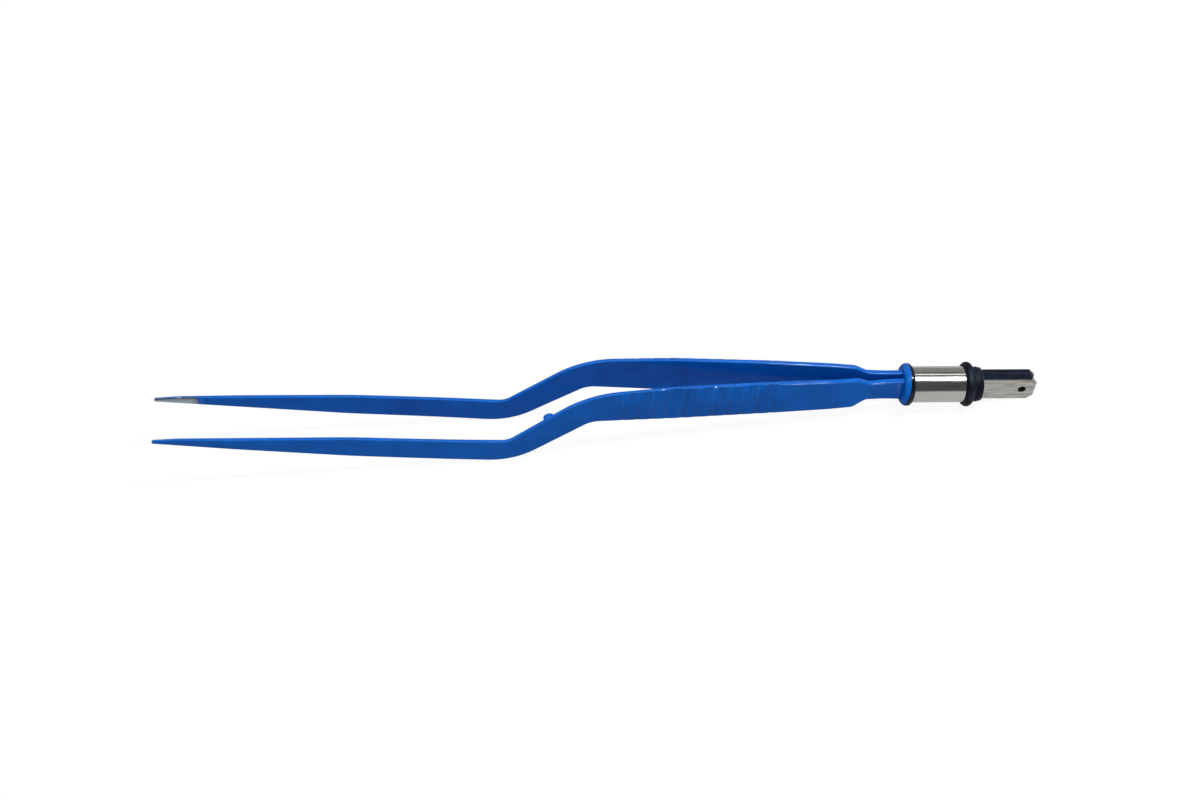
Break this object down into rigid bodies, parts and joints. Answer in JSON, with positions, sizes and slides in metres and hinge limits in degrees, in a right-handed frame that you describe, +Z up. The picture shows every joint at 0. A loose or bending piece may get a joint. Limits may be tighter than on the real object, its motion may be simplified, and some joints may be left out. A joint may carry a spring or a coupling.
{
  "type": "bipolar forceps",
  "caption": "Bayonet bipolar forceps with insulated spring arms, bare inner tips, grooved grips, a stop peg and a flat contact plug with detent holes.",
  "frame": {"origin": "centre of the bounding box on the table that the forceps lies on", "axes": "+X from the tips towards the plug, +Y from the left arm to the right arm, +Z up"},
  "size_m": [0.2204, 0.015, 0.0198],
  "materials": {
    "blue_coating": "glossy nylon coating",
    "blade_steel": "satin",
    "body_plastic": "moulded, fine matt",
    "sleeve_steel": "drawn tube, polished",
    "collar_plastic": "moulded, slightly streaked",
    "contact_steel": "brushed, lightly scratched"
  },
  "bodies": {
    "plug": {"plug_body": "body_plastic", "flange_coating": "blue_coating", "steel_sleeve": "sleeve_steel", "rear_collar": "collar_plastic", "left_contact": "contact_steel", "right_contact": "contact_steel"},
    "left_arm": {"left_blade": "blade_steel", "left_coating": "blue_coating", "stop_peg": "blade_steel"},
    "right_arm": {"right_blade": "blade_steel", "right_coating": "blue_coating"}
  },
  "joints": [
    {"name": "left_arm_flex", "type": "hinge", "parent": "plug", "child": "left_arm", "pos_m": [0.07639, -0.00145, 0.00754], "axis": [-0.1171, 0, -0.9931], "range_deg": [0, 1.93], "stiffness_Nm_per_rad": 5.5},
    {"name": "right_arm_flex", "type": "hinge", "parent": "plug", "child": "right_arm", "pos_m": [0.07639, 0.00145, 0.00754], "axis": [0.1171, 0, 0.9931], "range_deg": [0, 1.93], "stiffness_Nm_per_rad": 5.5}
  ]
}
